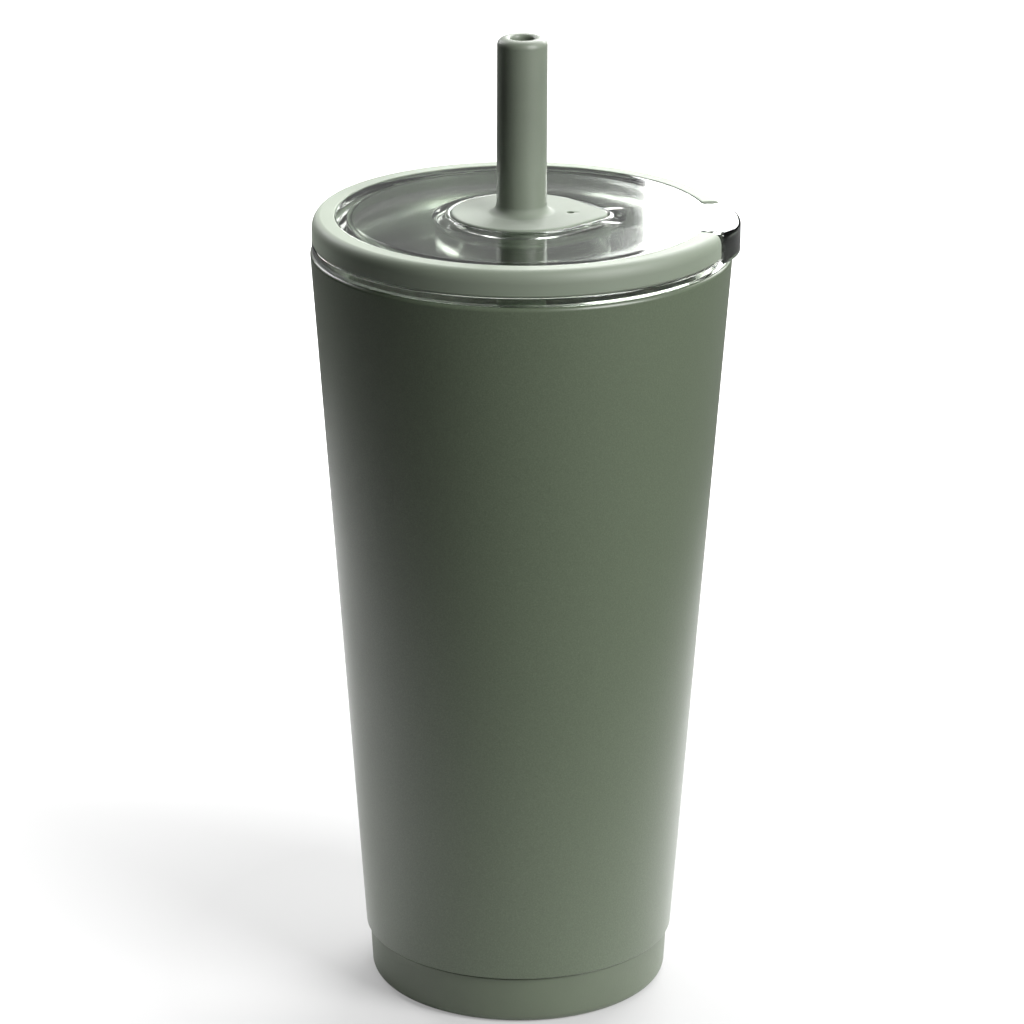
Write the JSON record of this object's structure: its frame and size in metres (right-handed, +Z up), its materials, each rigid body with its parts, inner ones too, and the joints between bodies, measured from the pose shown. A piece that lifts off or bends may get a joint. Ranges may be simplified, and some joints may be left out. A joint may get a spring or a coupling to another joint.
{
  "type": "insulated tumbler with lid",
  "caption": "Double-walled steel tumbler with a tapered body, soft base boot, clear press-in lid, coloured lid ring, lift tab and a straw held in a central plug.",
  "frame": {"origin": "centre of the base boot's flat underside, on the axis, where the tumbler stands", "axes": "+Z up the tumbler's axis towards the straw's tip, +X towards the lid's lift tab"},
  "size_m": [0.0944, 0.0928, 0.219],
  "materials": {
    "powder_coat": "fine matte powder coat",
    "liner_steel": "fine brushed, electropolished",
    "base_steel": "plain mill finish",
    "seal_bead": "dull solder glass",
    "getter": "pressed powder",
    "boot_silicone": "matte silicone",
    "clear_lid": "clear copolyester, polished",
    "ring_plastic": "satin sage green",
    "gasket_silicone": "translucent silicone",
    "plug_silicone": "matte light sage silicone",
    "straw_silicone": "matte sage silicone"
  },
  "bodies": {
    "tumbler": {"outer_shell": "powder_coat", "shell_base": "base_steel", "vacuum_seal": "seal_bead", "inner_liner": "liner_steel", "getter_holder": "base_steel", "getter_pellet": "getter", "base_boot": "boot_silicone"},
    "lid": {"lid_body": "clear_lid", "lid_ring": "ring_plastic", "lid_gasket": "gasket_silicone"},
    "plug": {"straw_plug": "plug_silicone"},
    "straw": {"straw": "straw_silicone"}
  },
  "joints": [
    {"name": "lid_lift", "type": "slide", "parent": "tumbler", "child": "lid", "axis": [0, 0, 1], "range_m": [0, 0.17]},
    {"name": "plug_pull", "type": "slide", "parent": "lid", "child": "plug", "axis": [0, 0, 1], "range_m": [0, 0.009]},
    {"name": "straw_slide", "type": "slide", "parent": "plug", "child": "straw", "axis": [0, 0, 1], "range_m": [-0.004, 0.165]}
  ]
}
